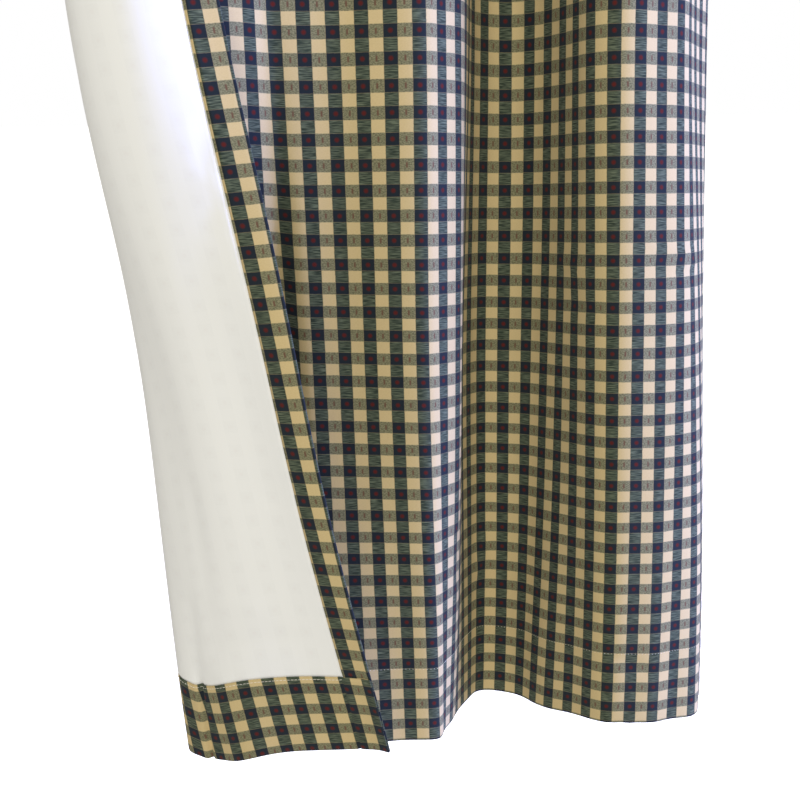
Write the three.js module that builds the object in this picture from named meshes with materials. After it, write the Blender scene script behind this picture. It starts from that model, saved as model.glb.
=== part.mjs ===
// Lined cotton curtain panel, hanging from its top edge in soft vertical folds.
// The leading edge (left) is turned back towards the room, so that the white lining,
// the narrow side hem and the deep bottom hem on the back of the cloth show.
// Millimetres. +X runs across the window, +Y away from the room, +Z up.
// The origin is at the middle of the top edge, where a rod or rail would hold the panel.
import * as THREE from 'three';

// Cloth sizes
const PANEL_WIDTH = 1016;
const PANEL_DROP = 2134;
const CHECK_WIDTH = 22;
const FACE_THICKNESS = 1.2;
const HEM_PLY = 1.0;
const LINING_THICKNESS = 1.0;
const PLY_GAP = 0.7;

// Hems, all turned to the back of the cloth
const SIDE_HEM = 26;
const BOTTOM_HEM = 75;
const TOP_HEM = 40;
const HEM_STEP = 0.2;
const EDGE_GAP = 0.6;

// Heights above the hem at which the folds below are written down
const HEIGHTS = { hem: 0, low: 325, middle: 650, upper: 900, top: PANEL_DROP };

// One row for each place across the cloth, counted in checks from the leading edge.
// The other columns are the way the cloth runs there in plan, in degrees from +X
// towards +Y, at each height. The turn-back of the leading edge is added below.
// Most of these degrees, and most values of the turn-back and of the front zone below,
// weren't chosen by hand. A separate least-squares program fitted them to places of the
// check in the picture, and they were rounded. Some were changed by hand afterwards.
const FOLDS = [
  // at,   hem,  low, middle, upper, top
  [ 0.0,  -34,   -6,   16,  -10,   20],
  [ 1.4,    4,  -20,   28,   -2,   24],
  [ 3.4,    0,    0,    0,    0,   14],
  [ 5.4,    0,  -36,  -18,  -20,  -16],
  [ 6.6,  -36,  -24,  -46,  -40,  -36],
  [ 7.4,  -16,  -26,  -38,  -38,  -42],
  [ 8.4,    2,  -44,  -58,  -50,  -42],
  [ 9.7,   -4,  -56,  -56,  -40,  -32],
  [10.7,    4,  -32,  -10,  -14,   -8],
  [11.7,  -10,   16,   28,    8,   16],
  [12.7,  -10,   26,   30,   14,   34],
  [13.7,   12,    4,   46,   26,   40],
  [14.2,   26,  -40,    8,    6,   14],
  [14.7,   10,   -6,    8,    6,   10],
  [15.7,    8,   -2,    6,    4,    4],
  [16.7,   14,  -12,   -8,   -8,   -4],
  [17.7,    6,  -12,   -8,  -10,  -14],
  [18.6,   -2,   -8,   -4,   -6,   -8],
  [19.2,   20,    4,   12,    8,   -4],
  [19.55,  70,   38,   40,   37,   25],
  [20.7,   68,   52,   50,   50,   46],
  [21.7,   76,   82,   74,   72,   64],
  [22.7,   72,   88,   80,   80,   76],
  [23.7,   68,   70,   80,   78,   72],
  [24.7,   64,   58,   60,   60,   56],
  [25.7,    0,    6,   32,   32,   28],
  [26.7,  -34,  -24,  -28,  -26,  -14],
  [27.7,  -62,  -52,  -54,  -52,  -40],
  [28.7,  -52,  -58,  -64,  -62,  -56],
  [29.7,  -36,  -60,  -70,  -68,  -62],
  [30.7,  -48,  -58,  -68,  -66,  -56],
  [31.7,  -38,  -38,  -38,  -38,  -36],
  [32.7,    6,    6,   12,   10,    2],
  [33.7,    0,   18,   36,   36,   32],
  [34.7,   30,   30,   34,   36,   46],
  [35.7,   14,   46,   64,   62,   58],
  [36.7,   66,   64,   68,   68,   66],
  [37.7,   80,   74,   66,   66,   70],
  [38.7,   72,   76,   64,   66,   70],
  [39.9,   90,   92,   82,   82,   84],
  [41.3,  130,  124,  110,  108,  104],
  [42.9,  162,  156,  140,  138,  130],
  [44.7,  184,  176,  160,  158,  152],
  [46.2,  194,  186,  172,  170,  166],
];

// The turn-back of the leading edge: the check at which its fold lies and how softly
// it turns, at each height. Towards the top the fold runs off the edge.
const TURN_BACK = { half_turn: 86, at: [8.86, 8.5, 6.55, 5.4, 0], soft: [0.5, 1.7, 2, 2, 2.4] };

// Where the flat front zone hangs in plan, at each height, at one check across
const ANCHOR = { at: 17.15, x: [-17, -23.5, -24.5, -28, -40], y: [79, 62.5, 7, 4, 0] };

// Middle of the top edge in the plan above, moved to the origin
const TOP_MIDDLE = { x: -24, y: 94 };

// Folds further back hang a little lower: drop for each millimetre of depth
const SAG = { rate: 0.1, depth: 60, full_below: 1300 };

// Fineness of the tables that the faceted sheets are read from, and the reach over
// which the way out of the cloth is measured
const PLAN_STEP = 0.1;
const HEIGHT_STEPS = 90;
const NORMAL_REACH = 3;

// Stretches of the cloth that the faceted sheets follow with steps of their own
const TURN_ZONE = { from: 150, to: 230 };
const FRONT_ZONE_END = 395;
const CALM_ABOVE = 720;
const STILL_ABOVE = 1300;

function curveThrough(xs, ys, x) {
  // Smooth curve through the points, with the mean of the two slopes at each
  const at = Math.min(Math.max(x, xs[0]), xs[xs.length - 1]);
  let i = 0;
  while (i < xs.length - 2 && at > xs[i + 1]) i += 1;
  const slope = (k) => (ys[k + 1] - ys[k]) / (xs[k + 1] - xs[k]);
  const last = xs.length - 1;
  const tangent = (k) => {
    if (k === 0) return slope(0);
    if (k === last) return slope(last - 1);
    return (slope(k - 1) + slope(k)) / 2;
  };
  const span = xs[i + 1] - xs[i];
  const t = (at - xs[i]) / span;
  const rise = 3 * t * t - 2 * t * t * t;
  const start = t * (1 - t) * (1 - t) * span * tangent(i);
  const end = t * t * (1 - t) * span * tangent(i + 1);
  return ys[i] * (1 - rise) + ys[i + 1] * rise + start - end;
}

const LEVELS = Object.values(HEIGHTS);
const PLACES = FOLDS.map((row) => row[0]);
const CHECKS_ACROSS = PANEL_WIDTH / CHECK_WIDTH;

function headings(height) {
  // The heading of the cloth at every plan step, at one height
  const atLevel = FOLDS.map((row) => curveThrough(LEVELS, row.slice(1), height));
  const foldAt = curveThrough(LEVELS, TURN_BACK.at, height);
  const soft = curveThrough(LEVELS, TURN_BACK.soft, height);
  const found = [];
  const count = Math.ceil(CHECKS_ACROSS / PLAN_STEP);
  for (let k = 0; k <= count; k += 1) {
    const check = (CHECKS_ACROSS * k) / count;
    const turn = TURN_BACK.half_turn * (1 - Math.tanh((check - foldAt) / soft));
    found.push(THREE.MathUtils.degToRad(curveThrough(PLACES, atLevel, check) + turn));
  }
  return found;
}

function planCurve(height) {
  // Plan positions along the cloth at one height, walked along its headings
  const turns = headings(height);
  const step = PANEL_WIDTH / (turns.length - 1);
  const points = [{ x: 0, y: 0 }];
  for (let k = 1; k < turns.length; k += 1) {
    const middle = (turns[k - 1] + turns[k]) / 2;
    const from = points[k - 1];
    points.push({ x: from.x + step * Math.cos(middle), y: from.y + step * Math.sin(middle) });
  }
  const anchor = points[Math.round((ANCHOR.at * CHECK_WIDTH) / step)];
  const moveX = curveThrough(LEVELS, ANCHOR.x, height) - anchor.x - TOP_MIDDLE.x;
  const moveY = curveThrough(LEVELS, ANCHOR.y, height) - anchor.y - TOP_MIDDLE.y;
  return points.map((p) => new THREE.Vector3(p.x + moveX, p.y + moveY, 0));
}

function hangingCloth() {
  // Rows of points from the top edge down. Every column keeps its own length before the
  // sag is added, which stretches or shortens the cloth locally by up to about 3%.
  const step = PANEL_DROP / HEIGHT_STEPS;
  const rows = [planCurve(PANEL_DROP)];
  for (let r = 1; r <= HEIGHT_STEPS; r += 1) {
    const row = planCurve(PANEL_DROP - r * step);
    row.forEach((p, k) => {
      const above = rows[r - 1][k];
      const aside = Math.hypot(p.x - above.x, p.y - above.y);
      p.z = above.z - Math.sqrt(step * step - aside * aside);
    });
    rows.push(row);
  }
  rows.forEach((row, r) => {
    const share = Math.min((r * step) / (PANEL_DROP - SAG.full_below), 1);
    row.forEach((p) => {
      p.z -= SAG.rate * share * (p.y + TOP_MIDDLE.y - SAG.depth);
    });
  });
  return rows;
}

const CLOTH = hangingCloth();

function onCloth(across, height) {
  // A point of the hanging cloth, by its place on the flat cloth
  const column = (across / PANEL_WIDTH) * (CLOTH[0].length - 1);
  const row = ((PANEL_DROP - height) / PANEL_DROP) * HEIGHT_STEPS;
  const c = Math.min(Math.floor(column), CLOTH[0].length - 2);
  const r = Math.min(Math.floor(row), HEIGHT_STEPS - 1);
  const upper = CLOTH[r][c].clone().lerp(CLOTH[r][c + 1], column - c);
  const lower = CLOTH[r + 1][c].clone().lerp(CLOTH[r + 1][c + 1], column - c);
  return upper.lerp(lower, row - r);
}

function backwards(across, height) {
  // Unit vector out of the back of the cloth, to the left of its heading
  const west = onCloth(Math.max(across - NORMAL_REACH, 0), height);
  const east = onCloth(Math.min(across + NORMAL_REACH, PANEL_WIDTH), height);
  const low = onCloth(across, Math.max(height - NORMAL_REACH, 0));
  const high = onCloth(across, Math.min(height + NORMAL_REACH, PANEL_DROP));
  return high.sub(low).cross(east.sub(west)).normalize();
}

function sheet(acrossStations, heightStations, frontOffset, backOffset) {
  // A closed thin sheet between two offsets from the cloth's face
  const columns = acrossStations.length;
  const rows = heightStations.length;
  const points = [];
  for (const offset of [frontOffset, backOffset]) {
    for (const height of heightStations) {
      for (const across of acrossStations) {
        const out = backwards(across, height).multiplyScalar(offset(across, height));
        points.push(onCloth(across, height).add(out));
      }
    }
  }
  const front = (i, j) => j * columns + i;
  const back = (i, j) => columns * rows + j * columns + i;
  const faces = [];
  const quad = (a, b, c, d) => faces.push(a, b, c, a, c, d);
  for (let j = 0; j < rows - 1; j += 1) {
    for (let i = 0; i < columns - 1; i += 1) {
      quad(front(i, j), front(i + 1, j), front(i + 1, j + 1), front(i, j + 1));
      faces.push(back(i, j), back(i + 1, j + 1), back(i + 1, j));
      faces.push(back(i, j), back(i, j + 1), back(i + 1, j + 1));
    }
  }
  for (let i = 0; i < columns - 1; i += 1) {
    quad(front(i, 0), back(i, 0), back(i + 1, 0), front(i + 1, 0));
    quad(front(i, rows - 1), front(i + 1, rows - 1), back(i + 1, rows - 1), back(i, rows - 1));
  }
  for (let j = 0; j < rows - 1; j += 1) {
    quad(front(0, j), front(0, j + 1), back(0, j + 1), back(0, j));
    quad(front(columns - 1, j), back(columns - 1, j), back(columns - 1, j + 1), front(columns - 1, j + 1));
  }
  const geometry = new THREE.BufferGeometry();
  const flat = points.flatMap((p) => [p.x, p.y, p.z]);
  geometry.setAttribute('position', new THREE.Float32BufferAttribute(flat, 3));
  geometry.setIndex(faces);
  geometry.computeVertexNormals();
  return geometry;
}

function stationsAlong(runs) {
  // Even steps along each run; a row is where it starts, where it ends and its steps
  const stations = [runs[0][0]];
  for (const [from, to, steps] of runs) {
    for (let k = 1; k <= steps; k += 1) stations.push(from + ((to - from) * k) / steps);
  }
  return stations;
}

// Stations across, closest together at the turn-back, and then the hem edges
const liningLeft = SIDE_HEM + EDGE_GAP;
const liningRight = PANEL_WIDTH - SIDE_HEM - EDGE_GAP;
const liningAcross = stationsAlong([
  // from, to, steps
  [liningLeft, TURN_ZONE.from, 5],
  [TURN_ZONE.from, TURN_ZONE.to, 12],
  [TURN_ZONE.to, FRONT_ZONE_END, 5],
  [FRONT_ZONE_END, liningRight, 29],
]);
const faceAcross = [
  0,
  SIDE_HEM,
  SIDE_HEM + HEM_STEP,
  ...liningAcross,
  PANEL_WIDTH - SIDE_HEM - HEM_STEP,
  PANEL_WIDTH - SIDE_HEM,
  PANEL_WIDTH,
];

// Stations up the cloth, closer together low down where its folds change most
const liningBottom = BOTTOM_HEM + EDGE_GAP;
const liningTop = PANEL_DROP - TOP_HEM - EDGE_GAP;
const liningHeights = stationsAlong([
  // from, to, steps
  [liningBottom, CALM_ABOVE, 9],
  [CALM_ABOVE, STILL_ABOVE, 5],
  [STILL_ABOVE, liningTop, 3],
]);
const faceHeights = [
  0,
  BOTTOM_HEM,
  BOTTOM_HEM + HEM_STEP,
  ...liningHeights,
  PANEL_DROP - TOP_HEM - HEM_STEP,
  PANEL_DROP - TOP_HEM,
  PANEL_DROP,
];

function inHem(across, height) {
  const side = across <= SIDE_HEM || across >= PANEL_WIDTH - SIDE_HEM;
  return side || height <= BOTTOM_HEM || height >= PANEL_DROP - TOP_HEM;
}

function checkCottonPanel() {
  // The check cotton with its turned hems, which are double cloth on the back
  const back = (across, height) => FACE_THICKNESS + (inHem(across, height) ? HEM_PLY : 0);
  const cloth = new THREE.MeshStandardMaterial({ color: 0x8a8672, roughness: 0.95, metalness: 0 });
  const panel = new THREE.Mesh(sheet(faceAcross, faceHeights, () => 0, back), cloth);
  panel.name = 'face_panel';
  return panel;
}

function whiteLining() {
  // The lining lies on the back of the face cloth, between the hems
  const front = () => FACE_THICKNESS + PLY_GAP;
  const back = () => FACE_THICKNESS + PLY_GAP + LINING_THICKNESS;
  const cloth = new THREE.MeshStandardMaterial({ color: 0xf2efe8, roughness: 0.95, metalness: 0 });
  const lining = new THREE.Mesh(sheet(liningAcross, liningHeights, front, back), cloth);
  lining.name = 'lining';
  return lining;
}

const curtain = new THREE.Group();
curtain.add(checkCottonPanel());
curtain.add(whiteLining());

export default curtain;
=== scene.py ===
# Lined cotton curtain panel, hanging in soft folds with its leading edge turned back
import math

import bpy
import numpy as np
from mathutils import Matrix, Vector


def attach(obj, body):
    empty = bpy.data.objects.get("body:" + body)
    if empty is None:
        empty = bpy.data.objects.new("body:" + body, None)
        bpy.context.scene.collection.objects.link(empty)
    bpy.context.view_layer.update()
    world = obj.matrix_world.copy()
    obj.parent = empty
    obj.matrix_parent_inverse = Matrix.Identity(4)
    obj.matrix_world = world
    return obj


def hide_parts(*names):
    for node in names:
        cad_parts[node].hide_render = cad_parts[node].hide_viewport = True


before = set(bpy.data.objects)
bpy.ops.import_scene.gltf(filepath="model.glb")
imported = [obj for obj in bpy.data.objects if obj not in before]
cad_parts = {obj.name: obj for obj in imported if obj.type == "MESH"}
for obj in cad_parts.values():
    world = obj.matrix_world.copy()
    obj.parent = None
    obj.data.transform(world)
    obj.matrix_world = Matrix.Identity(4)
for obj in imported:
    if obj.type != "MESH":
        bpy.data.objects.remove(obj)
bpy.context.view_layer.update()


# Check cotton panel
# One width of yarn-dyed cotton, woven in a navy and cream check with a red pin dot.
# It is hemmed on all sides by folding the cloth to its back, and hangs in vertical
# folds. Its leading edge is turned back towards the room, so that the back shows.

# Sizes in millimetres
MM = 0.001
PANEL_WIDTH, PANEL_DROP = 1016.0, 2134.0
CHECK_WIDTH, CHECK_HEIGHT = 22.0, 20.2
SIDE_HEM, BOTTOM_HEM, TOP_HEM = 26.0, 75.0, 40.0
COTTON_THICKNESS = 0.6

# The way the cloth runs in plan, in degrees from +X towards +Y, at places counted in
# checks from the leading edge, for the heights of the HANG table below. Most of these
# degrees, and most of the HANG table, weren't chosen by hand: a separate least-squares
# program fitted them to places of the check in the picture, and they were rounded. Some
# were changed afterwards.
FOLDS = np.array([
    # at, hem, low, middle, upper, top
    (0.0, -34, -6, 16, -10, 20),
    (1.4, 4, -20, 28, -2, 24),
    (3.4, 0, 0, 0, 0, 14),
    (5.4, 0, -36, -18, -20, -16),
    (6.6, -36, -24, -46, -40, -36),
    (7.4, -16, -26, -38, -38, -42),
    (8.4, 2, -44, -58, -50, -42),
    (9.7, -4, -56, -56, -40, -32),
    (10.7, 4, -32, -10, -14, -8),
    (11.7, -10, 16, 28, 8, 16),
    (12.7, -10, 26, 30, 14, 34),
    (13.7, 12, 4, 46, 26, 40),
    (14.2, 26, -40, 8, 6, 14),
    (14.7, 10, -6, 8, 6, 10),
    (15.7, 8, -2, 6, 4, 4),
    (16.7, 14, -12, -8, -8, -4),
    (17.7, 6, -12, -8, -10, -14),
    (18.6, -2, -8, -4, -6, -8),
    (19.2, 20, 4, 12, 8, -4),
    (19.55, 70, 38, 40, 37, 25),
    (20.7, 68, 52, 50, 50, 46),
    (21.7, 76, 82, 74, 72, 64),
    (22.7, 72, 88, 80, 80, 76),
    (23.7, 68, 70, 80, 78, 72),
    (24.7, 64, 58, 60, 60, 56),
    (25.7, 0, 6, 32, 32, 28),
    (26.7, -34, -24, -28, -26, -14),
    (27.7, -62, -52, -54, -52, -40),
    (28.7, -52, -58, -64, -62, -56),
    (29.7, -36, -60, -70, -68, -62),
    (30.7, -48, -58, -68, -66, -56),
    (31.7, -38, -38, -38, -38, -36),
    (32.7, 6, 6, 12, 10, 2),
    (33.7, 0, 18, 36, 36, 32),
    (34.7, 30, 30, 34, 36, 46),
    (35.7, 14, 46, 64, 62, 58),
    (36.7, 66, 64, 68, 68, 66),
    (37.7, 80, 74, 66, 66, 70),
    (38.7, 72, 76, 64, 66, 70),
    (39.9, 90, 92, 82, 82, 84),
    (41.3, 130, 124, 110, 108, 104),
    (42.9, 162, 156, 140, 138, 130),
    (44.7, 184, 176, 160, 158, 152),
    (46.2, 194, 186, 172, 170, 166),
])

# For each height above the hem: the check at which the leading edge folds back, how
# softly it turns there, and where the flat front zone hangs in plan
HANG = np.array([
    # height, folds at, softness, front x, front y
    (0, 8.86, 0.5, -17, 79),
    (325, 8.5, 1.7, -23.5, 62.5),
    (650, 6.55, 2.0, -24.5, 7),
    (900, 5.4, 2.0, -28, 4),
    (PANEL_DROP, 0, 2.4, -40, 0),
])
# Half of the angle that the leading edge turns back, the check at which the place of
# the front zone is given, and the middle of the top edge, which is moved to the origin
HALF_TURN = 86
FRONT_CHECK = 17.15
TOP_MIDDLE = (-24.0, 94.0)
# Folds further back than a certain depth hang lower, by so much for each millimetre
SAG_RATE, SAG_DEPTH, SAG_FULL_BELOW = 0.1, 60, 1300
# Steps of the fine grid that all sheets and stitches are placed on
FINE_ACROSS, FINE_UP = 1.1, 4.0

# Creases and soft ridges that the hanging cloth has besides its folds: a line on the
# flat cloth in millimetres, how far it stands out of the back, and its half width
CREASES = [
    # from across, from up, to across, to up, out, half width
    # Sharp pinch down the turned-back hem, and its soft end in the lining above
    (159, 77, 168, 0, -3.2, 2.2),
    (173, 0, 165, 74, 1.2, 5),
    (159, 80, 148, 150, -1.2, 7),
    # Edge of the side hem, felt through the bottom hem folded over it
    (28.5, 0, 28.5, 73, -1.0, 1.3),
    # Slight ridge and puckers where the lining meets the side hem
    (31, 80, 31, 560, 0.5, 3),
    (30, 540, 34, 508, -1.4, 6),
    (33, 480, 45, 462, -1.0, 7),
    (32, 250, 48, 238, -1.0, 7),
    # Soft level creases in the lining above the hem, and an upright one near its fold
    (60, 112, 140, 108, -0.9, 6),
    (78, 140, 122, 150, 0.7, 8),
    (131, 100, 118, 250, -1.1, 7),
    # Dents that cross the folds on the right of the front
    (742, 452, 800, 440, -1.2, 6),
    (745, 438, 790, 428, 0.7, 7),
    (650, 442, 672, 432, -1.1, 6),
    (655, 405, 690, 398, 0.7, 8),
    # Short creases up from the hem on the front, and one along the hem's top edge
    (732, 0, 734, 16, -2.0, 4),
    (708, 72, 745, 54, 1.2, 7),
    (548, 130, 560, 168, -1.6, 6),
    (470, 190, 474, 150, 1.2, 7),
]


def curve_through(xs, ys, x):
    """Smooth curve through the rows of ys, with the mean of the two slopes at each."""
    steps = np.diff(xs)
    slopes = np.diff(ys, axis=0) / steps[:, None]
    tangents = np.vstack([slopes[:1], (slopes[1:] + slopes[:-1]) / 2, slopes[-1:]])
    i = np.clip(np.searchsorted(xs, x, side="right") - 1, 0, len(steps) - 1)
    t = np.clip((x - xs[i]) / steps[i], 0, 1)[:, None]
    rise = t * t * (3 - 2 * t)
    start = t * (1 - t) ** 2 * steps[i][:, None] * tangents[i]
    end = t * t * (1 - t) * steps[i][:, None] * tangents[i + 1]
    return ys[i] * (1 - rise) + ys[i + 1] * rise + start - end


def unit(vectors):
    """The same directions, one unit long."""
    return vectors / np.linalg.norm(vectors, axis=-1, keepdims=True)


def hanging_cloth(across, heights):
    """Points on the cloth's face, in rows from the hem up and columns across. Each
    column keeps its length before the sag is added, which stretches or shortens the
    cloth locally by up to about 3%."""
    check = across / CHECK_WIDTH
    folds_at, softness, front_x, front_y = curve_through(HANG[:, 0], HANG[:, 1:], heights).T
    runs = curve_through(HANG[:, 0], FOLDS[:, 1:].T, heights)
    runs = curve_through(FOLDS[:, 0], runs.T, check).T
    turn = HALF_TURN * (1 - np.tanh((check - folds_at[:, None]) / softness[:, None]))
    heading = np.radians(runs + turn)
    heading = (heading[:, 1:] + heading[:, :-1]) / 2
    x = np.pad(np.cumsum(np.diff(across) * np.cos(heading), axis=1), ((0, 0), (1, 0)))
    y = np.pad(np.cumsum(np.diff(across) * np.sin(heading), axis=1), ((0, 0), (1, 0)))
    front = np.argmin(abs(check - FRONT_CHECK))
    x += (front_x - x[:, front])[:, None]
    y += (front_y - y[:, front])[:, None]
    aside = np.hypot(np.diff(x, axis=0), np.diff(y, axis=0))
    fall = np.sqrt(np.diff(heights)[:, None] ** 2 - aside ** 2)
    z = -np.pad(np.cumsum(fall[::-1], axis=0)[::-1], ((0, 1), (0, 0)))
    sagging = np.clip((PANEL_DROP - heights) / (PANEL_DROP - SAG_FULL_BELOW), 0, 1)
    z -= SAG_RATE * sagging[:, None] * (y - SAG_DEPTH)
    return np.stack([x - TOP_MIDDLE[0], y - TOP_MIDDLE[1], z], axis=-1)


def out_of_back(points):
    """Unit vectors out of the back of a grid of points."""
    return unit(np.cross(np.gradient(points, axis=0), np.gradient(points, axis=1)))


def crease_relief(across, heights):
    """How far the creases move each point out of the back."""
    relief = np.zeros((len(heights), len(across)))
    for x0, y0, x1, y1, out, half_width in CREASES:
        along = ((across - x0) * (x1 - x0) + (heights[:, None] - y0) * (y1 - y0))
        along = np.clip(along / ((x1 - x0) ** 2 + (y1 - y0) ** 2), 0, 1)
        off_x = across - x0 - along * (x1 - x0)
        off_y = heights[:, None] - y0 - along * (y1 - y0)
        relief += out * np.exp(-(off_x ** 2 + off_y ** 2) / half_width ** 2)
    return relief


fine_across = np.linspace(0, PANEL_WIDTH, round(PANEL_WIDTH / FINE_ACROSS) + 1)
fine_up = np.linspace(0, PANEL_DROP, round(PANEL_DROP / FINE_UP) + 1)
cloth = hanging_cloth(fine_across, fine_up)
cloth_out = out_of_back(cloth)
cloth += cloth_out * crease_relief(fine_across, fine_up)[..., None]


def on_cloth(across, height, out):
    """Points at places on the flat cloth, moved out of the back by out millimetres."""
    across, height, out = np.broadcast_arrays(across, height, out)
    column = np.clip(across / PANEL_WIDTH, 0, 1) * (len(fine_across) - 1)
    row = np.clip(height / PANEL_DROP, 0, 1) * (len(fine_up) - 1)
    c = np.minimum(column.astype(int), len(fine_across) - 2)
    r = np.minimum(row.astype(int), len(fine_up) - 2)
    part_c, part_r = (column - c)[..., None], (row - r)[..., None]
    found = []
    for grid in (cloth, cloth_out):
        lower = grid[r, c] * (1 - part_c) + grid[r, c + 1] * part_c
        upper = grid[r + 1, c] * (1 - part_c) + grid[r + 1, c + 1] * part_c
        found.append(lower * (1 - part_r) + upper * part_r)
    return found[0] + unit(found[1]) * out[..., None]


def stations_along(*runs):
    """Even steps along each run of (from, to, steps)."""
    parts = [np.linspace(a, b, steps, endpoint=False) for a, b, steps in runs]
    return np.append(np.concatenate(parts), runs[-1][1])


# Radius of the cloth's fold at a hemmed edge
FOLD_ROUND = 0.9


def way_over_hems(front, low_hem, high_hem, low_steps, high_steps):
    """The way over a hemmed width: the first hem, round its fold, across, and back.

    Gives the place on the panel, the ply (0 in front, 1 at the back), and the place
    along the cloth itself, which runs on through the folds."""
    turn = np.radians([150, 120, 90, 60, 30])
    place = FOLD_ROUND * (1 - np.sin(turn))
    ply, along = (1 - np.cos(turn)) / 2, FOLD_ROUND * np.cos(turn)
    end = front[-1] + front[0]
    low = np.linspace(low_hem, FOLD_ROUND, low_steps)
    high = np.linspace(end - FOLD_ROUND, end - high_hem, high_steps)
    return (
        np.concatenate([low, place, front, end - place[::-1], high]),
        np.concatenate([low * 0 + 1, ply, front * 0, ply[::-1], high * 0 + 1]),
        np.concatenate([-low, along, front, end - along[::-1], 2 * end - high]),
    )


def ease(x):
    """From 0 to 1 with no corner."""
    x = np.clip(x, 0, 1)
    return x * x * (3 - 2 * x)


# How far the middle of each ply lies out of the panel's face. In the corners the side
# hem is folded first, and the bottom or top hem over it.
FRONT_PLY, HEM_PLY, SIDE_HEM_UNDER, HEM_INSIDE, HEM_OVER = 0.3, 2.1, 1.1, 2.2, 2.9
# How far up and how far across the plies take to change level near a corner
RISE_UP, RISE_ACROSS = 10, 6


def ply_out(across, side_ply, up, end_ply):
    """How far each point of the folded cotton lies out of the panel's face."""
    from_ends = np.minimum(up - BOTTOM_HEM, PANEL_DROP - TOP_HEM - up)[:, None]
    from_sides = np.minimum(across - SIDE_HEM, PANEL_WIDTH - SIDE_HEM - across)
    side = SIDE_HEM_UNDER + (HEM_PLY - SIDE_HEM_UNDER) * ease(from_ends / RISE_UP + 0.5)
    over = HEM_OVER + (HEM_PLY - HEM_OVER) * ease(from_sides / RISE_ACROSS + 0.5)
    end_ply = end_ply[:, None]
    front = FRONT_PLY * (1 - side_ply) + side * side_ply
    back = over * (1 - side_ply) + HEM_INSIDE * side_ply
    return front * (1 - end_ply) + back * end_ply


# Layout of the map for baking, as shares of its width: how wide each side of a sheet
# is and where the second one starts, and where its rims start between the two
MAP_SIDE_WIDTH, MAP_SECOND_SIDE = 0.49, 0.51
MAP_RIM, MAP_RIM_PITCH, MAP_RIM_WIDTH = 0.491, 0.005, 0.003


def closed_sheet(name, middle, thickness, place, material):
    """A thin closed sheet about a grid of middle points, which keeps each point's place
    on the flat cloth, and a map for baking with its two sides next to each other."""
    rows, columns = middle.shape[:2]
    out = out_of_back(middle) * thickness / 2
    points = np.concatenate([(middle - out).reshape(-1, 3), (middle + out).reshape(-1, 3)])
    number = np.arange(rows * columns).reshape(rows, columns)
    a, b = number[:-1, :-1].ravel(), number[:-1, 1:].ravel()
    c, d = number[1:, 1:].ravel(), number[1:, :-1].ravel()
    back = rows * columns
    u = np.tile(np.linspace(0, 1, columns), rows)
    v = np.repeat(np.linspace(0, 1, rows), columns)
    sides = [(np.stack([a, b, c, d], 1), 0.0),
             (np.stack([a, d, c, b], 1) + back, MAP_SECOND_SIDE)]
    faces = [face for face, _ in sides]
    maps = [np.stack([left + MAP_SIDE_WIDTH * u[f % back], v[f % back]], -1) for f, left in sides]
    rims = [number[0], number[-1][::-1], number[::-1, 0], number[:, -1]]
    for k, edge in enumerate(rims):
        rim = np.stack([edge[:-1], edge[:-1] + back, edge[1:] + back, edge[1:]], 1)
        left = MAP_RIM + MAP_RIM_PITCH * k
        right = left + MAP_RIM_WIDTH
        height = np.linspace(0, 1, len(edge))
        low, high = height[:-1], height[1:]
        strip = np.stack([low, low, high, high], 1)
        across = np.broadcast_to([left, right, right, left], rim.shape)
        faces.append(rim)
        maps.append(np.stack([across, strip], -1))
    mesh = bpy.data.meshes.new(name)
    mesh.from_pydata((points * MM).tolist(), [], np.concatenate(faces).tolist())
    smooth = np.arange(len(mesh.polygons)) < 2 * len(a)
    mesh.polygons.foreach_set("use_smooth", smooth)
    bake = mesh.uv_layers.new(name="OFBake")
    bake.data.foreach_set("uv", np.concatenate(maps).ravel())
    kept = mesh.attributes.new("cloth_mm", "FLOAT_VECTOR", "POINT")
    kept.data.foreach_set("vector", np.tile(place.reshape(-1, 3), (2, 1)).ravel())
    mesh.materials.append(material)
    made = bpy.data.objects.new(name, mesh)
    bpy.context.scene.collection.objects.link(made)
    return made


def linear(code):
    """An sRGB hex colour as the linear colour that a shader takes."""
    parts = [int(code[k:k + 2], 16) / 255 for k in (1, 3, 5)]
    return (*[c / 12.92 if c <= 0.04045 else ((c + 0.055) / 1.055) ** 2.4 for c in parts], 1)


def add_node(tree, kind, inputs, **settings):
    """Adds a node. An input is a value, or another node's output, which is linked."""
    made = tree.nodes.new(kind)
    for name, value in settings.items():
        setattr(made, name, value)
    for name, value in inputs.items():
        if isinstance(value, bpy.types.NodeSocket):
            tree.links.new(value, made.inputs[name])
        else:
            made.inputs[name].default_value = value
    return made


def new_material(name):
    """A new material, and its node tree, which is empty."""
    made = bpy.data.materials.new(name)
    made.use_nodes = True
    made.node_tree.nodes.clear()
    return made, made.node_tree


def product(tree, a, b):
    """One value or mask times another."""
    return add_node(tree, "ShaderNodeMath", {0: a, 1: b}, operation="MULTIPLY").outputs[0]


def fading(tree, distance, fade):
    """A mask that is one up to where the fade begins, and nothing past its end."""
    return add_node(tree, "ShaderNodeMapRange",
                    {"Value": distance, "From Min": fade[0], "From Max": fade[1],
                     "To Min": 1, "To Max": 0}).outputs[0]


def yarn_noise(tree, place, size, detail):
    """Noise with grains about as wide and high as the size, in millimetres."""
    scaled = add_node(tree, "ShaderNodeVectorMath", {0: place, 1: (1 / size[0], 1 / size[1], 0)},
                      operation="MULTIPLY")
    return add_node(tree, "ShaderNodeTexNoise",
                    {"Vector": scaled.outputs[0], "Scale": 1, "Detail": detail}).outputs["Fac"]


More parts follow.
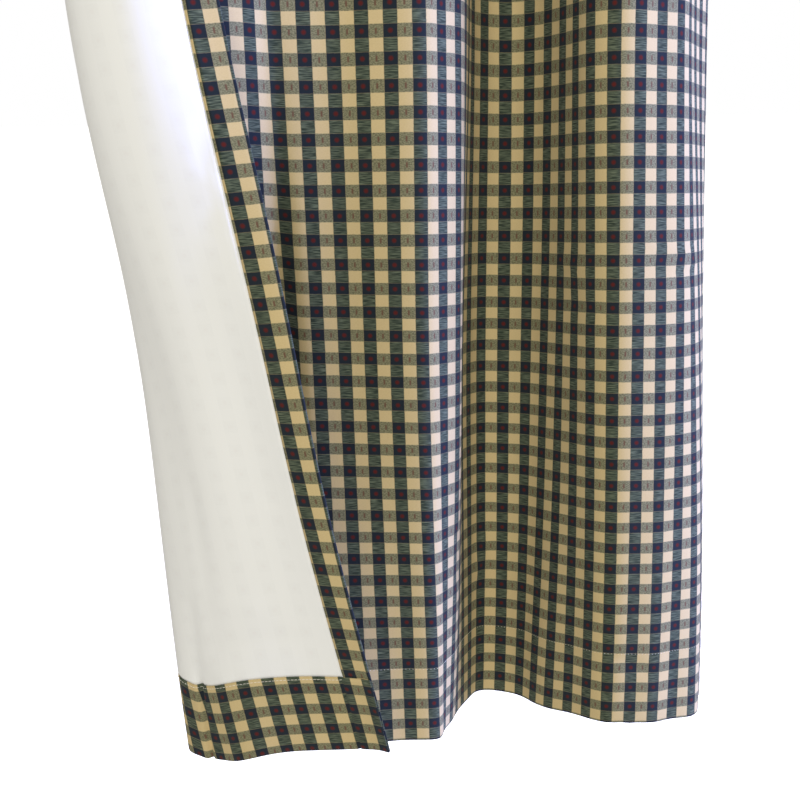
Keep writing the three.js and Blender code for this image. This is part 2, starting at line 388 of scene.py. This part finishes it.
def painted(tree, colour, layers):
    """The colour with the hex colour of each layer laid over it, where its mask is."""
    for mask, code in layers:
        colour = add_node(tree, "ShaderNodeMix", {0: mask, 6: colour, 7: linear(code)},
                          data_type="RGBA").outputs[2]
    return colour


# Where the first navy stripe's middle lies, in checks in from the leading edge and up
# from the hem, and half its width, the softness of its edges and how far they wander
NAVY_PHASE = (0.15, -0.14)
NAVY_HALF = 0.25
EDGE_SOFTNESS = 0.014
EDGE_WOBBLE, WOBBLE_SCALE = 0.022, 0.45
# Where the pin dot and the tick begin to fade and where they end, in millimetres from
# the middle of their square
DOT_FADE = (0.9, 2.5)
TICK_FADE_ACROSS, TICK_FADE_UP = (0.4, 1.1), (1.6, 2.7)


def check_masks(tree, place):
    """Masks of the woven check: navy warp, navy weft, pin dot and upright tick."""
    wander = add_node(tree, "ShaderNodeTexNoise",
                      {"Vector": place, "Scale": WOBBLE_SCALE, "Detail": 2})
    centred = add_node(tree, "ShaderNodeVectorMath", {0: wander.outputs["Color"], 1: (0.5, 0.5, 0.5)},
                       operation="SUBTRACT")
    shift = add_node(tree, "ShaderNodeVectorMath", {0: centred.outputs[0], "Scale": EDGE_WOBBLE},
                     operation="SCALE")
    start = (0.5 - NAVY_PHASE[0], 0.5 - NAVY_PHASE[1], 0)
    counted = add_node(tree, "ShaderNodeVectorMath",
                       {0: place, 1: (1 / CHECK_WIDTH, 1 / CHECK_HEIGHT, 0), 2: start},
                       operation="MULTIPLY_ADD")
    part = add_node(tree, "ShaderNodeVectorMath", {0: counted.outputs[0]}, operation="FRACTION")
    offset = add_node(tree, "ShaderNodeVectorMath", {0: part.outputs[0], 1: (0.5, 0.5, 0)},
                      operation="SUBTRACT")
    away = add_node(tree, "ShaderNodeVectorMath", {0: offset.outputs[0]}, operation="ABSOLUTE")
    wobbly = add_node(tree, "ShaderNodeVectorMath", {0: away.outputs[0], 1: shift.outputs[0]},
                      operation="ADD")
    low, high = NAVY_HALF - EDGE_SOFTNESS, NAVY_HALF + EDGE_SOFTNESS
    # Inputs 6 to 10 of this node are the vector, the range it has and the new range
    navy = add_node(tree, "ShaderNodeMapRange",
                    {6: wobbly.outputs[0], 7: (low,) * 3, 8: (high,) * 3, 9: (1, 1, 1), 10: (0, 0, 0)},
                    data_type="FLOAT_VECTOR")
    stripes = add_node(tree, "ShaderNodeSeparateXYZ", {0: navy.outputs[1]})
    sizes = (CHECK_WIDTH, CHECK_HEIGHT, 0)
    millimetres = add_node(tree, "ShaderNodeVectorMath", {0: away.outputs[0], 1: sizes},
                           operation="MULTIPLY")
    apart = add_node(tree, "ShaderNodeSeparateXYZ", {0: millimetres.outputs[0]})
    from_middle = add_node(tree, "ShaderNodeVectorMath", {0: millimetres.outputs[0]},
                           operation="LENGTH")
    dot = fading(tree, from_middle.outputs["Value"], DOT_FADE)
    from_cream = add_node(tree, "ShaderNodeMath", {0: CHECK_WIDTH / 2, 1: apart.outputs["X"]},
                          operation="SUBTRACT")
    narrow = fading(tree, from_cream.outputs[0], TICK_FADE_ACROSS)
    short = fading(tree, apart.outputs["Y"], TICK_FADE_UP)
    return stripes.outputs["X"], stripes.outputs["Y"], dot, product(tree, narrow, short)


# Width and height of the streaks and threads in millimetres, drawn as noise, and the
# stretch of the noise over which each goes from none to full
STREAK_SIZE, STREAK_RANGE = (9.0, 0.6), (0.42, 0.66)
COTTON_THREAD_SIZE, SPECKLE_RANGE = (1.6, 0.7), (0.42, 0.6)
CREAM_SPECKLE = 0.35


def woven_check_cotton():
    """Yarn-dyed cotton in a plain weave: a soft matt cloth whose half-tone squares show
    the crossing yarns as short level streaks. The streaks are drawn coarser than the
    real yarns, which are too fine to show."""
    material, tree = new_material("woven check cotton")
    place = add_node(tree, "ShaderNodeAttribute", {}, attribute_name="cloth_mm").outputs["Vector"]
    warp, weft, dot, tick = check_masks(tree, place)

    # Streaks of the crossing yarns, and the fainter threads of the plain squares
    streak = yarn_noise(tree, place, STREAK_SIZE, 1)
    light_streak = add_node(tree, "ShaderNodeMapRange",
                            {"Value": streak, "From Min": STREAK_RANGE[0],
                             "From Max": STREAK_RANGE[1]}).outputs[0]
    thread = yarn_noise(tree, place, COTTON_THREAD_SIZE, 2)
    speckle = add_node(tree, "ShaderNodeMapRange",
                       {"Value": thread, "From Min": SPECKLE_RANGE[0],
                        "From Max": SPECKLE_RANGE[1]}).outputs[0]

    not_weft = add_node(tree, "ShaderNodeMath", {0: 1.0, 1: weft}, operation="SUBTRACT").outputs[0]
    not_warp = add_node(tree, "ShaderNodeMath", {0: 1.0, 1: warp}, operation="SUBTRACT").outputs[0]
    dark_square = product(tree, warp, not_weft)
    light_square = product(tree, weft, not_warp)
    navy_square = product(tree, warp, weft)
    colour = painted(tree, linear("#D6C192"), [
        # mask, colour
        (product(tree, speckle, CREAM_SPECKLE), "#C9B384"),
        (dark_square, "#323C34"),
        (product(tree, dark_square, light_streak), "#6C7663"),
        (light_square, "#8F8C6E"),
        (product(tree, light_square, speckle), "#666751"),
        (product(tree, light_square, tick), "#6E5444"),
        (navy_square, "#212931"),
        (product(tree, navy_square, dot), "#5A211E"),
    ])
    weave = add_node(tree, "ShaderNodeBump", {"Height": thread, "Strength": 0.35,
                                              "Distance": 0.25 * MM})
    shader = add_node(tree, "ShaderNodeBsdfPrincipled",
                      {"Base Color": colour, "Roughness": 0.92, "Specular IOR Level": 0.1,
                       "Sheen Weight": 0.05, "Sheen Roughness": 0.5, "Normal": weave.outputs[0]})
    add_node(tree, "ShaderNodeOutputMaterial", {"Surface": shader.outputs[0]})
    return material


# Where the spacing of columns and rows changes, in millimetres. Columns are closest at
# the edge of the side hem and where the leading edge folds back, and rows low down,
# where the folds are sharpest.
HEM_EDGE_FROM, HEM_EDGE_TO = 24, 33
TURN_FROM, PINCH_TO, TURN_TO = 150, 176, 235
FRONT_FOLDS_TO = 620
HEM_ROWS_TO, CALM_ABOVE, STILL_ABOVE = 90, 700, 1200
across, side_ply, along_across = way_over_hems(
    stations_along(
        # from, to, steps
        (FOLD_ROUND, HEM_EDGE_FROM, 7),
        (HEM_EDGE_FROM, HEM_EDGE_TO, 12),
        (HEM_EDGE_TO, TURN_FROM, 30),
        (TURN_FROM, PINCH_TO, 26),
        (PINCH_TO, TURN_TO, 24),
        (TURN_TO, FRONT_FOLDS_TO, 76),
        (FRONT_FOLDS_TO, PANEL_WIDTH - FOLD_ROUND, 54),
    ),
    SIDE_HEM, SIDE_HEM, low_steps=7, high_steps=7)
up, end_ply, along_up = way_over_hems(
    stations_along(
        # from, to, steps
        (FOLD_ROUND, HEM_ROWS_TO, 24),
        (HEM_ROWS_TO, CALM_ABOVE, 84),
        (CALM_ABOVE, STILL_ABOVE, 22),
        (STILL_ABOVE, PANEL_DROP - FOLD_ROUND, 24),
    ),
    BOTTOM_HEM, TOP_HEM, low_steps=20, high_steps=5)
cotton_middle = on_cloth(across, up[:, None], ply_out(across, side_ply, up, end_ply))
cotton_place = np.stack([*np.broadcast_arrays(along_across, along_up[:, None], 0.0)], axis=-1)
cotton = closed_sheet("check_cotton_panel", cotton_middle, COTTON_THICKNESS, cotton_place,
                      woven_check_cotton())
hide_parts("face_panel")
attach(cotton, "root")


# White lining
# One width of plain white lining, which lies flat on the back of the check cotton. Its
# edges are tucked under the side, bottom and top hems and sewn down with them.
LINING_THICKNESS = 0.4
# How far the lining lies out of the panel's face, in the open and under a hem, how
# wide it is tucked in, and over what width it comes out from under the hem
LINING_PLY, TUCKED_PLY, TUCK, LINING_RISE = 2.15, 0.95, 2.5, 2
LINING_THREAD_SIZE = (1.0, 1.4)
CHECK_SHOWS, DOT_SHOWS = 0.012, 0.02


def plain_lining_cotton():
    """Bleached plain-weave cotton: nearly smooth and matt. It is thin enough for the
    dark squares and dots of the check behind it to show through very faintly."""
    material, tree = new_material("bleached lining cotton")
    place = add_node(tree, "ShaderNodeAttribute", {}, attribute_name="cloth_mm").outputs["Vector"]
    warp, weft, dot, _ = check_masks(tree, place)
    navy_square = product(tree, warp, weft)
    dark = add_node(tree, "ShaderNodeMath", {0: navy_square, 1: warp}, operation="ADD").outputs[0]
    colour = painted(tree, linear("#F8FAFD"), [
        # mask, colour
        (product(tree, dark, CHECK_SHOWS), "#5A6472"),
        (product(tree, product(tree, navy_square, dot), DOT_SHOWS), "#B05050"),
    ])
    thread = yarn_noise(tree, place, LINING_THREAD_SIZE, 2)
    weave = add_node(tree, "ShaderNodeBump", {"Height": thread, "Strength": 0.25,
                                              "Distance": 0.15 * MM})
    shader = add_node(tree, "ShaderNodeBsdfPrincipled",
                      {"Base Color": colour, "Roughness": 0.9, "Specular IOR Level": 0.2,
                       "Sheen Weight": 0.1, "Sheen Roughness": 0.5, "Normal": weave.outputs[0]})
    add_node(tree, "ShaderNodeOutputMaterial", {"Surface": shader.outputs[0]})
    return material


lining_left, lining_bottom = SIDE_HEM - TUCK, BOTTOM_HEM - TUCK
lining_right, lining_top = PANEL_WIDTH - lining_left, PANEL_DROP - TOP_HEM + TUCK
# The width along the lining's edges with closer columns and rows, and where its columns
# become closer for the turn-back
LINING_EDGE, LINING_TURN_FROM = 6, 130
across = stations_along(
    # from, to, steps
    (lining_left, lining_left + LINING_EDGE, 6),
    (lining_left + LINING_EDGE, LINING_TURN_FROM, 20),
    (LINING_TURN_FROM, TURN_TO, 42),
    (TURN_TO, FRONT_FOLDS_TO, 60),
    (FRONT_FOLDS_TO, lining_right - LINING_EDGE, 50),
    (lining_right - LINING_EDGE, lining_right, 6),
)
up = stations_along(
    # from, to, steps
    (lining_bottom, lining_bottom + LINING_EDGE, 6),
    (lining_bottom + LINING_EDGE, CALM_ABOVE, 90),
    (CALM_ABOVE, STILL_ABOVE, 24),
    (STILL_ABOVE, lining_top - LINING_EDGE, 26),
    (lining_top - LINING_EDGE, lining_top, 6),
)
from_edge = np.minimum(np.minimum(across - lining_left, lining_right - across),
                       np.minimum(up - lining_bottom, lining_top - up)[:, None])
lining_out = TUCKED_PLY + (LINING_PLY - TUCKED_PLY) * ease((from_edge - TUCK) / LINING_RISE)
lining_place = np.stack([*np.broadcast_arrays(across, up[:, None], 0.0)], axis=-1)
lining = closed_sheet("white_lining", on_cloth(across, up[:, None], lining_out), LINING_THICKNESS,
                      lining_place, plain_lining_cotton())
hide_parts("lining")
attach(lining, "root")


# Hem stitching
# White sewing thread, close to the inner edge of the bottom and top hems. The stitches
# are long on the back of the panel, and only pick up its face.
STITCH_PITCH, BACK_STITCH, FACE_STITCH, THREAD = 3.2, 2.6, 0.7, 0.4
# How far the stitches lie in from the hem's inner edge, how far the thread's middle lies
# out of the cloth, and how many sides the thread has
STITCH_IN, THREAD_OUT, THREAD_SIDES = 2.7, 0.1, 6
STITCH_SHAPE = (
    # place along the stitch and thickness there, as shares of its length and the thread
    (-0.5, 0.35),
    (-0.32, 1.0),
    (0.32, 1.0),
    (0.5, 0.35),
)


def plain_sewing_thread():
    """Spun white thread: matt, with a slight sheen, and painted highlights in bands along its twisted
    plies.
    """
    material, tree = new_material("spun white thread")
    # Painted highlight and shade: the lighter bands stand for the lit ridges of the twisted plies, and
    # the darker ones for shade in the grooves between them
    twist_highlight_bands = add_node(tree, "ShaderNodeTexWave", {"Scale": 900, "Distortion": 1})
    colour = add_node(tree, "ShaderNodeMix", {0: twist_highlight_bands.outputs["Fac"], 6: linear("#EDE8DD"),
                                              7: linear("#F6F3EC")}, data_type="RGBA")
    shader = add_node(tree, "ShaderNodeBsdfPrincipled",
                      {"Base Color": colour.outputs[2], "Roughness": 0.7, "Sheen Weight": 0.2})
    add_node(tree, "ShaderNodeOutputMaterial", {"Surface": shader.outputs[0]})
    return material


def stitch_row(height, out, length):
    """Points and faces of one row of stitches, across the whole panel."""
    points, faces = [], []
    first = STITCH_PITCH / 2
    count = int(PANEL_WIDTH / STITCH_PITCH) - 1
    ring = np.radians(np.arange(THREAD_SIDES) * (360 // THREAD_SIDES))
    for k in range(count):
        middle = first + (k + 0.5) * STITCH_PITCH
        for part, size in STITCH_SHAPE:
            at = middle + part * length
            ups = height + THREAD / 2 * size * np.sin(ring)
            outs = out + THREAD / 2 * size * np.cos(ring)
            points.append(on_cloth(at, ups, outs))
        start = len(STITCH_SHAPE) * THREAD_SIDES * k
        end = start + (len(STITCH_SHAPE) - 1) * THREAD_SIDES
        for r in range(start, end, THREAD_SIDES):
            for s in range(THREAD_SIDES):
                a, b = r + s, r + (s + 1) % THREAD_SIDES
                faces.append((a, b, b + THREAD_SIDES, a + THREAD_SIDES))
        faces.append(tuple(start + s for s in reversed(range(THREAD_SIDES))))
        faces.append(tuple(end + s for s in range(THREAD_SIDES)))
    return np.concatenate(points), faces


hem_back = HEM_PLY + COTTON_THICKNESS / 2
stitch_points, stitch_faces = [], []
for height in (BOTTOM_HEM - STITCH_IN, PANEL_DROP - TOP_HEM + STITCH_IN):
    for out, length in ((-THREAD_OUT, FACE_STITCH), (hem_back + THREAD_OUT, BACK_STITCH)):
        points, faces = stitch_row(height, out, length)
        first = sum(len(p) for p in stitch_points)
        stitch_points.append(points)
        stitch_faces += [tuple(first + n for n in face) for face in faces]
thread_mesh = bpy.data.meshes.new("hem_stitching")
thread_mesh.from_pydata((np.concatenate(stitch_points) * MM).tolist(), [], stitch_faces)
thread_mesh.polygons.foreach_set("use_smooth", [True] * len(thread_mesh.polygons))
thread_mesh.materials.append(plain_sewing_thread())
stitching = bpy.data.objects.new("hem_stitching", thread_mesh)
bpy.context.scene.collection.objects.link(stitching)
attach(stitching, "root")


# Studio
# A pale floor well below the hem and a white surround. A large cool soft box stands on
# the right, and a warm one near the camera.
# In metres
FLOOR_BELOW_HEM, FLOOR_HALF_SIZE = 0.3, 20
lowest = cloth[..., 2].min() * MM
floor_mesh = bpy.data.meshes.new("floor")
floor_mesh.from_pydata([(x * FLOOR_HALF_SIZE, y * FLOOR_HALF_SIZE, lowest - FLOOR_BELOW_HEM)
                        for x, y in ((-1, -1), (1, -1), (1, 1), (-1, 1))], [], [(0, 1, 2, 3)])
floor_paint, tree = new_material("matt white studio floor")
shader = add_node(tree, "ShaderNodeBsdfPrincipled",
                  {"Base Color": linear("#F2F2F0"), "Roughness": 0.9, "Specular IOR Level": 0.1,
                   "Emission Color": (1, 1, 1, 1), "Emission Strength": 1.0})
add_node(tree, "ShaderNodeOutputMaterial", {"Surface": shader.outputs[0]})
floor_mesh.materials.append(floor_paint)
floor = bpy.data.objects.new("floor", floor_mesh)
bpy.context.scene.collection.objects.link(floor)
floor.visible_diffuse = False

LIT_HEIGHT = -1.8
for name, place, size, power, colour in (
    # name, place in metres, width and height, watts, colour
    ("key", (2.66, -0.45, -1.3), (0.9, 2.4), 190, (0.32, 0.39, 1.0)),
    ("fill", (0.1, -2.8, -0.9), (2.2, 2.0), 42, (1.0, 0.97, 0.86)),
):
    lamp = bpy.data.lights.new(name, "AREA")
    lamp.shape = "RECTANGLE"
    lamp.size, lamp.size_y = size
    lamp.energy, lamp.color = power, colour
    holder = bpy.data.objects.new(name, lamp)
    holder.location = place
    aim = Vector((0, 0, LIT_HEIGHT)) - holder.location
    holder.rotation_euler = aim.to_track_quat("-Z", "Y").to_euler()
    holder.visible_camera = False
    bpy.context.scene.collection.objects.link(holder)

# The surround is white to the camera and dimmer as a light
surround = bpy.data.worlds.new("white surround")
surround.use_nodes = True
tree = surround.node_tree
tree.nodes.clear()
path = add_node(tree, "ShaderNodeLightPath", {})
seen = add_node(tree, "ShaderNodeBackground", {"Color": (1, 1, 1, 1), "Strength": 1.0})
soft = add_node(tree, "ShaderNodeBackground", {"Color": (1, 0.95, 0.84, 1), "Strength": 0.44})
both = add_node(tree, "ShaderNodeMixShader", {0: path.outputs["Is Camera Ray"],
                                              1: soft.outputs[0], 2: seen.outputs[0]})
add_node(tree, "ShaderNodeOutputWorld", {"Surface": both.outputs[0]})
bpy.context.scene.world = surround
bpy.context.scene.view_settings.view_transform = "Standard"

# Camera, level with the lower part of the panel and looking down on its hem
FOCAL_PIXELS, PICTURE_PIXELS, SENSOR = 1372, 800, 36
TILT, ROLL = 14, -1
CAMERA_ACROSS, CAMERA_BACK, CAMERA_ABOVE_HEM = 0, 1060, 605
hem_front = on_cloth(FRONT_CHECK * CHECK_WIDTH, 0, 0)
camera = bpy.data.objects.new("camera", bpy.data.cameras.new("camera"))
camera.data.sensor_width = SENSOR
camera.data.lens = FOCAL_PIXELS * SENSOR / PICTURE_PIXELS
look = Matrix.Rotation(math.radians(90 - TILT), 4, "X") @ Matrix.Rotation(math.radians(ROLL), 4, "Z")
stands = (CAMERA_ACROSS - TOP_MIDDLE[0], -CAMERA_BACK - TOP_MIDDLE[1], hem_front[2] + CAMERA_ABOVE_HEM)
camera.matrix_world = Matrix.Translation(Vector(stands) * MM) @ look
bpy.context.scene.collection.objects.link(camera)
bpy.context.scene.camera = camera
